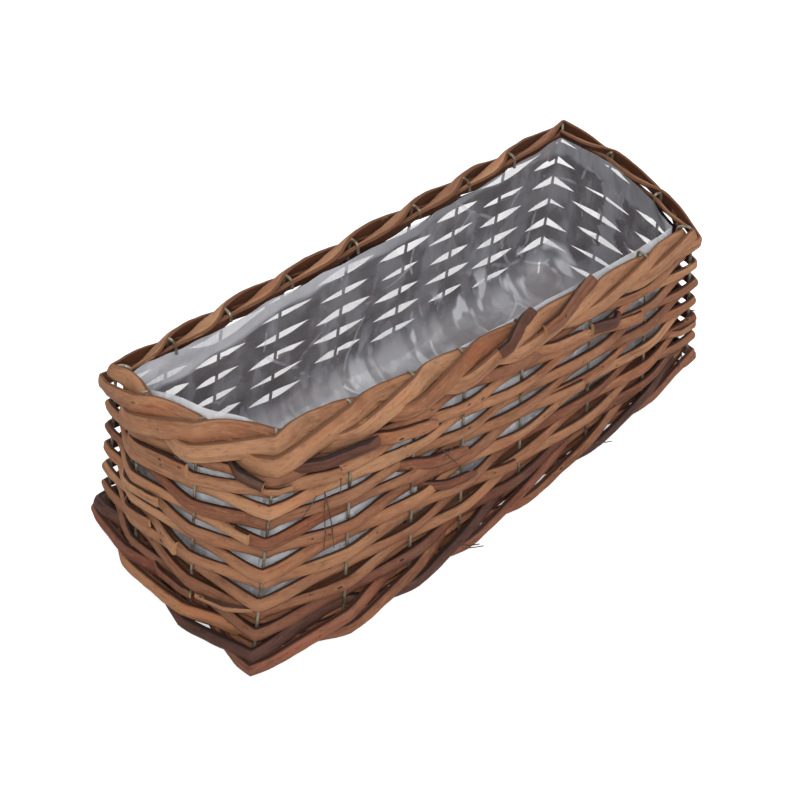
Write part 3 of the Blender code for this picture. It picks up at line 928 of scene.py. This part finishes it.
def overRimPath(start, end):
    points = []
    for step in range(strayEnd["steps"] + 1):
        share = step / strayEnd["steps"]
        away = rimEnd["out"] - rimEnd["reach"] * max(0, share - rimEnd["turnAt"]) / (1 - rimEnd["turnAt"])
        height = between(start[1], end[1], min(1, share / rimEnd["topAt"]))
        points.append(wallPoint(between(start[0], end[0], share), away, height))
    return points


count = strayEnd["steps"] + 1
for number, (start, end, width, out, tilt, narrow, tone) in enumerate(strayEnd["ends"], 1):
    # one that runs clockwise is turned over, so that its round face still looks outwards
    turned = math.pi if start[0] > end[0] else 0
    tilts = [turned + tilt - wallLean(start[0])] * count
    radii = [width * (1 + wander(strayEnd["swell"], number, step)) for step in range(count)]
    piece = bendRod(f"strayEnd{number:02d}", strayPath(start, end, out), tilts, radii, strayEnd, (1, narrow))
    addPiece(piece, wallTones[tone], "split_willow")
for number, (start, end, width, tone) in enumerate(rimEnd["ends"], 1):
    tilts = [rimEnd["tilt"] - rimEnd["roll"] * step / count for step in range(count)]
    piece = bendRod(f"rimEnd{number}", overRimPath(start, end), tilts, [width] * count, strayEnd,
                    (1, rimEnd["narrow"]))
    addPiece(piece, wallTones[tone], "split_willow")
twigBark = makeStained("twigBark", (86, 52, 36), (40, 24, 18), 0.0)
for number, (fromOut, toOut, *run) in enumerate(twig["runs"], 1):
    points = []
    for order, (place, height) in enumerate(run):
        points.append(wallPoint(place, between(fromOut, toOut, order / (len(run) - 1)), height))
    addPiece(makeRound(f"twig{number:02d}", points, twig), twigBark, "split_willow")
print("loose ends laid on")


# Base: flat strips over and under the cross wires

baseStrip = {
    "width": 0.0114,
    "thickness": 0.0034,
    "splitAt": 0.04,
    "fullness": 0.8,
    "sides": 12,
    "ring": 0.005,
    "lumps": 0.0006,
    "swing": 0.0030,
    "swingSteps": 5,
    "shares": (0.120, 0.184, 0.247, 0.367, 0.432, 0.498, 0.563, 0.628, 0.750, 0.815),
    "endGap": 0.016,
    # inset, lift and width of the rows that follow the foot
    "borders": ((0.0062, 0.0045, 1.0), (0.0155, 0.0, 1.0), (0.0090, 0.0110, 0.7), (0.0118, 0.0070, 0.7),
                (0.0072, -0.0022, 0.9), (0.0235, -0.0010, 1.0)),
    "borderStart": 0.4,
    "borderSteps": 6,
    "borderHeight": 0.0085,
    "borderSwing": 0.0022,
    "borderRoom": 0.0045,
    # strips laid flat under the cross wires, where the long wires leave no room to weave
    "laidShares": (0.307, 0.689),
    "laidFrom": 0.04,
    "laidReach": 0.92,
    "laidSteps": 40,
    "laidLevel": 0.0042,
    "laidSway": (0.0003, 1.0),
    "laidWidth": 0.95,
}

baseWillow = willowMaterial("baseWillow", baseStrip,
                            (150, 104, 76), (120, 76, 54), (82, 48, 34), (50, 27, 19))


def crossingShare(start, end, otherStart, otherEnd):
    way = end - start
    other = otherEnd - otherStart
    gap = otherStart - start
    return (gap.x * other.y - gap.y * other.x) / (way.x * other.y - way.y * other.x)


def baseLine(share):
    # the two ends of a lengthways line on the base, at a share of the way from front to back
    return (stakeAt(0, 0).lerp(stakeAt(firstLeft - 1, 0), share),
            stakeAt(firstRight - 1, 0).lerp(stakeAt(firstBack - 1, 0), share))


def weaveKnots(left, right, number):
    # over and under the cross wires by turns, and level halfway between them
    knots = [(0.0, 0.0)]
    for order, (front, back) in enumerate(crossings):
        met = crossingShare(left, right, stakeAt(front, 0), stakeAt(back, 0))
        if order:
            knots.append(((met + knots[-1][0]) / 2, 0.0))
        knots.append((met, baseStrip["swing"] * (1 if (order + number) % 2 else -1)))
    return knots + [(1.0, 0.0)]


def layFlat(name, points, width, *nodes):
    tilts = [-math.pi / 2] * len(points)
    piece = bendRod(name, points, tilts, [width] * len(points), baseStrip)
    addPiece(piece, baseWillow, "base_willow", *nodes)


for number, share in enumerate(baseStrip["shares"], 1):
    left, right = baseLine(share)
    along = (right - left).normalized()
    left = left + along * baseStrip["endGap"]
    right = right - along * baseStrip["endGap"]
    knots = weaveKnots(left, right, number)
    points = []
    for (shareA, liftA), (shareB, liftB) in zip(knots, knots[1:]):
        for step in range(baseStrip["swingSteps"]):
            ease = (1 - math.cos(math.pi * step / baseStrip["swingSteps"])) / 2
            spot = left.lerp(right, between(shareA, shareB, step / baseStrip["swingSteps"]))
            points.append(atHeight(spot, wire["baseLevel"] + between(liftA, liftB, ease)))
    points.append(atHeight(right, wire["baseLevel"]))
    layFlat(f"baseStrip{number:02d}", points, 1.0, f"base_strip_{number:02d}")
# the outermost rows of the base follow the foot all the way round
for number, (inset, lift, width) in enumerate(baseStrip["borders"], 1):
    start = number + baseStrip["borderStart"]
    room = min(1, (lift + baseStrip["borderRoom"]) / baseStrip["borderRoom"])  # the lower rows swing less
    points = []
    for place in placesBetween(start, start + stakeCount, baseStrip["borderSteps"]):
        spot = wallPoint(place, -inset, baseStrip["borderHeight"] + lift)
        spot.z += baseStrip["borderSwing"] * math.cos(math.pi * (place + number)) * room
        points.append(spot)
    layFlat(f"baseBorder{number}", points, width)
for number, across in enumerate(baseStrip["laidShares"], 1):
    left, right = baseLine(across)
    points = []
    for step in range(baseStrip["laidSteps"] + 1):
        share = baseStrip["laidFrom"] + baseStrip["laidReach"] * step / baseStrip["laidSteps"]
        spot = left.lerp(right, share)
        points.append(atHeight(spot, baseStrip["laidLevel"] + wander(baseStrip["laidSway"], across, step)))
    layFlat(f"baseLaid{number}", points, baseStrip["laidWidth"])
print("base woven")


# Film liner: a sheet of clear film, pushed down into the basket and held by the rim

liner = {
    "floor": 0.0132,
    "top": 0.1285,
    "inset": 0.0068,
    "radius": 0.030,
    "baySteps": 8,
    "wallSteps": 26,
    "radiusSteps": 10,
    "floorSteps": 10,
    "edgeWave": (0.0012, 3.1),
    # how deep below the edge it hangs slack, and how deep the hang is full
    "slackDepth": 0.03,
    "hangDepth": 0.115,
    # turns of smoothing along the edge, and further down
    "edgeEasing": 3,
    "lowEasing": 10,
    # place of a stake, and how far the bottom hangs clear of the base there
    "hang": ((0.8, 0.002), (2.4, 0.010), (4.5, 0.014), (7.5, 0.010), (9.5, 0.003), (12.0, 0.0), (18.0, 0.0)),
    # place of a stake, and how wide the doubled edge is there
    "hem": ((2.0, 0.005), (8.5, 0.010), (11.0, 0.006), (14.5, 0.012), (17.4, 0.024), (18.8, 0.016),
            (20.2, 0.014)),
    # place of a stake, how far the edge stands up there and how far it leans in
    "edge": ((0.3, 0.000, 0.0), (1.3, 0.002, 0.0005), (2.5, 0.0075, 0.002), (4.2, 0.009, 0.003),
             (6.2, 0.009, 0.003), (7.3, 0.008, 0.003), (8.6, 0.0085, 0.001), (10.2, 0.003, 0.0),
             (13.0, -0.001, 0.0), (15.8, 0.001, 0.0), (17.6, 0.006, 0.001), (18.6, 0.005, 0.002),
             (19.3, 0.009, 0.008), (20.4, 0.009, 0.010)),
    "fold": 0.0026,
    "foldsAlong": 2.7,
    "foldsDown": 18,
    "crumple": 0.0042,
    "crumpleSize": 0.021,
    "crumpleMiddle": 0.3,
    "flatSize": (0.386, 0.620),
    "flatArea": 0.166,
}

crumples = bpy.data.textures.new("filmCrumples", "CLOUDS")
crumples.noise_scale = liner["crumpleSize"]
crumples.noise_depth = 2


def linerRing(height, rounding, shrink):
    # rounding draws the ring in towards the floor, shrink closes the floor
    ring = []
    middle = Vector(plan["middle"])
    length, width = plan["footSize"]
    depth = liner["top"] - height
    slack = min(1, depth / liner["slackDepth"])
    for step in range(stakeCount * liner["baySteps"]):
        place = step / liner["baySteps"]
        ripple = max(0, wave(4, place * liner["foldsAlong"] + depth * liner["foldsDown"])) ** 2
        rise, lean = roundBasket(liner["edge"], place)
        lift = (1 - slack) * (rise + wander(liner["edgeWave"], 5, place))
        out = -liner["inset"] - liner["fold"] * slack * ripple - lean * (1 - slack) ** 2
        spot = wallPoint(place, out, height)
        x = (spot.x - middle.x) * (1 - rounding / (length / 2)) * shrink + middle.x
        y = (spot.y - middle.y) * (1 - rounding / (width / 2)) * shrink + middle.y
        hang = roundBasket(liner["hang"], place)[0] * slack * (depth / liner["hangDepth"]) ** 2 * shrink
        ring.append(Vector((x, y, height + lift + hang)))
    # film doesn't reach into the corners, and less so further down
    for turn in range(liner["edgeEasing"] + round(liner["lowEasing"] * slack)):
        ring = [(before + spot * 2 + after) / 4
                for before, spot, after in zip(ring[-1:] + ring[:-1], ring, ring[1:] + ring[:1])]
    return ring


def makeLiner():
    straight = liner["top"] - liner["floor"] - liner["radius"]
    levels = []
    for step in range(liner["wallSteps"] + 1):
        levels.append((liner["top"] - straight * step / liner["wallSteps"], 0.0, 1.0))
    for step in range(1, liner["radiusSteps"] + 1):
        angle = math.pi / 2 * step / liner["radiusSteps"]
        drop = liner["floor"] + liner["radius"] * (1 - math.sin(angle))
        levels.append((drop, liner["radius"] * (1 - math.cos(angle)), 1.0))
    for step in range(1, liner["floorSteps"]):
        levels.append((liner["floor"], liner["radius"], 1.0 - step / liner["floorSteps"]))
    count = stakeCount * liner["baySteps"]
    bpy.ops.mesh.primitive_circle_add(vertices=count, radius=0.1, location=(0, 0, 0))
    sheet = bpy.context.object
    sheet.name = "filmLiner"
    sheet.data.name = "filmLiner"
    for level, (height, rounding, shrink) in enumerate(levels):
        if level:
            bpy.ops.object.mode_set(mode="EDIT")
            bpy.ops.mesh.extrude_region_move(TRANSFORM_OT_translate={"value": (0, 0, -0.001)})
            bpy.ops.object.mode_set(mode="OBJECT")
        ring = linerRing(height, rounding, shrink)
        for vert, spot in zip(sheet.data.vertices[level * count:], ring):
            vert.co = spot
    bpy.ops.object.mode_set(mode="EDIT")
    bpy.ops.mesh.edge_face_add()
    bpy.ops.mesh.poke()
    bpy.ops.mesh.select_all(action="SELECT")
    bpy.ops.mesh.normals_make_consistent(inside=True)
    bpy.ops.object.mode_set(mode="OBJECT")
    lay = sheet.data.attributes.new("lay", "FLOAT_VECTOR", "POINT")
    for number, vert in enumerate(sheet.data.vertices):
        around = (number % count) / liner["baySteps"]
        lay.data[number].vector = (around, liner["top"] - vert.co.z, roundBasket(liner["hem"], around)[0])
    applyModifier(sheet, "DISPLACE", texture=crumples, strength=liner["crumple"],
                  mid_level=liner["crumpleMiddle"], texture_coords="LOCAL")
    return sheet


film = {
    "clearTone": (170, 169, 176),
    "milkyTone": (240, 241, 246),
    "clearAlpha": 0.34,
    "milkyAlpha": 0.86,
    "roughness": 0.16,
    "shine": 0.8,
    "relief": 0.006,
    # how milky the film gets in each way
    "clouds": 0.6,
    "lines": 0.55,
    "hem": 0.85,
    "hemRight": 0.45,  # so much less round the right end
    "fold": 0.40,
    "veils": 0.26,
    # painted light, whiter across the floor
    "paintedFloorLight": 0.45,
    # painted highlights on the creases across the floor
    "creaseHighlights": 0.95,
    # painted light, whiter along the upper front and left end
    "dust": 0.5,
    "foldPlace": 9.2,  # at the right end
}


def makeFilm():
    finish, tree, shader = newMaterial("clearFilm")
    place = addNode(tree, "ShaderNodeTexCoord").outputs["Object"]
    lay = addNode(tree, "ShaderNodeAttribute", attribute_name="lay").outputs["Vector"]
    around, below, hemWidth = addNode(tree, "ShaderNodeSeparateXYZ", {0: lay}).outputs
    calc, times, ramp, mix, stretch, noise = nodeTools(tree)

    folds = noise(stretch(place, 30, 30, 13), 3, 0.6)
    slant = noise(stretch(place, 24, 60, 70), 2, 0.5)
    fine = noise(stretch(place, 170, 170, 90), 3, 0.6)
    # straight sharp creases, in a few places
    cells = {"Vector": stretch(place, 17, 17, 12), "Scale": 1.0}
    sharp = addNode(tree, "ShaderNodeTexVoronoi", cells, feature="DISTANCE_TO_EDGE").outputs["Distance"]
    lines = times(ramp(sharp, 0.030, 0.0), ramp(slant, 0.45, 0.60), film["lines"])
    facets = addNode(tree, "ShaderNodeTexVoronoi", cells).outputs["Color"]
    facetTone = addNode(tree, "ShaderNodeSeparateColor", {0: facets}).outputs[0]
    clouds = ramp(calc("ADD", folds, times(facetTone, 0.06)), 0.48, 0.80)
    # turned over along the top, where the doubled film looks milky, less so round the right end
    edge = calc("SUBTRACT", below, hemWidth)
    edge = calc("ADD", edge, times(calc("SUBTRACT", slant, 0.5), 0.012))
    rightEnd = times(ramp(around, 7.2, 7.8), ramp(around, 14.4, 12.6), film["hemRight"])
    hem = times(ramp(edge, 0.003, -0.002), calc("SUBTRACT", film["hem"], rightEnd))
    # a milky fold down the right end, and veils here and there
    aside = calc("ABSOLUTE", calc("SUBTRACT", calc("ADD", around, slant), film["foldPlace"]))
    fold = times(ramp(aside, 0.26, 0.12), film["fold"])
    veils = times(ramp(noise(stretch(place, 46, 46, 20), 2, 0.5), 0.46, 0.62), film["veils"])
    # creases across the floor, painted whiter as their highlights, most of them towards the right
    rightwards = addNode(tree, "ShaderNodeSeparateXYZ", {0: place}).outputs["X"]
    rightwards = calc("ADD", ramp(rightwards, -0.05, 0.16), 0.35, clamp=True)
    creaseHighlights = times(ramp(noise(stretch(place, 62, 15, 30), 2, 0.6), 0.52, 0.66), ramp(below, 0.058, 0.092),
                    rightwards, film["creaseHighlights"])
    # painted light: the film is whiter across the floor, where light comes in through the wall, and along
    # the upper front and the left end, where the key lamp falls
    paintedFloorLight = times(ramp(below, 0.084, 0.112), film["paintedFloorLight"])
    ends = calc("ADD", ramp(around, 7.6, 7.0), ramp(around, 17.9, 18.4))
    dust = times(ends, ramp(below, 0.090, 0.066), film["dust"])
    milk = times(clouds, film["clouds"])
    for share in (hem, creaseHighlights, veils, fold, lines):
        milk = calc("MAXIMUM", milk, share)
    for share in (paintedFloorLight, dust):
        milk = calc("ADD", milk, share, clamp=True)
    alpha = addNode(tree, "ShaderNodeMapRange", {
        "Value": milk, "To Min": film["clearAlpha"], "To Max": film["milkyAlpha"]})
    height = calc("ADD", calc("ADD", folds, times(fine, 0.10)), times(facetTone, 0.05))
    relief = addNode(tree, "ShaderNodeBump", {"Height": height, "Strength": 1.0, "Distance": film["relief"]})
    setInputs(tree, shader, {
        "Base Color": mix(milk, srgb(*film["clearTone"]), srgb(*film["milkyTone"])),
        "Alpha": alpha.outputs["Result"],
        "Normal": relief.outputs["Normal"],
        "Roughness": film["roughness"],
        "Specular IOR Level": film["shine"],
    })
    return finish


clearFilm = makeFilm()
linerSheet = makeLiner()
onlySelect(linerSheet)
bpy.ops.object.shade_smooth()
addPiece(linerSheet, clearFilm, "clear_film", "liner")
print("liner laid in")


# Studio: pale floor, soft light, camera where the photograph was taken from

studio = {
    "azimuth": 37.97,
    "elevation": 42.2,
    "roll": -0.82,
    "distance": 1.175,
    "target": (-0.0218, -0.0080, 0.065),
    "lens": 81,
    "sensor": 36,
    "floorSize": 40,
    "floorLevel": -0.0004,
    "floorGlow": 0.6,
    "ambient": 0.34,
    "lampTarget": (0, 0, 0.06),
    # name, place, size and power
    "lamps": (
        ("keyLamp", (-0.9, -1.3, 1.5), 0.9, 27),
        ("fillLamp", (1.5, -0.7, 1.0), 1.2, 9),
        ("backLamp", (0.3, 1.4, 1.6), 1.4, 10),
    ),
}


def addCamera():
    azimuth = math.radians(studio["azimuth"])
    elevation = math.radians(studio["elevation"])
    roll = math.radians(studio["roll"])
    level = math.cos(elevation)
    look = Vector((math.sin(azimuth) * level, math.cos(azimuth) * level, -math.sin(elevation)))
    bpy.ops.object.camera_add(location=Vector(studio["target"]) - studio["distance"] * look)
    camera = bpy.context.object
    right = look.cross(Vector((0, 0, 1))).normalized()
    up = right.cross(look)
    turnedRight = right * math.cos(roll) + up * math.sin(roll)
    turnedUp = up * math.cos(roll) - right * math.sin(roll)
    camera.rotation_euler = Matrix((turnedRight, turnedUp, -look)).transposed().to_euler()
    camera.data.lens = studio["lens"]
    camera.data.sensor_width = studio["sensor"]
    bpy.context.scene.camera = camera


def addLamp(name, location, size, power):
    bpy.ops.object.light_add(type="AREA", location=location)
    lamp = bpy.context.object
    lamp.name = name
    lamp.data.size = size
    lamp.data.energy = power
    towards = Vector(studio["lampTarget"]) - Vector(location)
    lamp.rotation_euler = towards.to_track_quat("-Z", "Y").to_euler()


def addFloor():
    bpy.ops.mesh.primitive_plane_add(size=studio["floorSize"], location=(0, 0, studio["floorLevel"]))
    floor = bpy.context.object
    floor.name = "studioFloor"
    finish, tree, shader = newMaterial("paleFloor")
    calc, times = nodeTools(tree)[:2]
    rays = addNode(tree, "ShaderNodeLightPath").outputs
    seen = calc("MAXIMUM", rays["Is Camera Ray"], rays["Is Transmission Ray"])
    setInputs(tree, shader, {
        "Base Color": (0.86, 0.86, 0.86, 1), "Roughness": 0.9, "Specular IOR Level": 0.1,
        "Emission Color": (1, 1, 1, 1), "Emission Strength": times(seen, studio["floorGlow"])})
    floor.data.materials.append(finish)


def addWorld():
    world = bpy.data.worlds.new("studioWorld")
    bpy.context.scene.world = world
    world.use_nodes = True
    tree = world.node_tree
    calc = nodeTools(tree)[0]
    rays = addNode(tree, "ShaderNodeLightPath").outputs
    seen = calc("MAXIMUM", rays["Is Camera Ray"], rays["Is Glossy Ray"])
    seen = calc("MAXIMUM", seen, rays["Is Transmission Ray"])
    light = addNode(tree, "ShaderNodeMapRange", {"Value": seen, "To Min": studio["ambient"], "To Max": 1.0})
    setInputs(tree, tree.nodes["Background"], {"Color": (1, 1, 1, 1), "Strength": light.outputs["Result"]})


addCamera()
addFloor()
addWorld()
for lamp in studio["lamps"]:
    addLamp(*lamp)
bpy.context.scene.view_settings.view_transform = "Standard"
print("studio set")
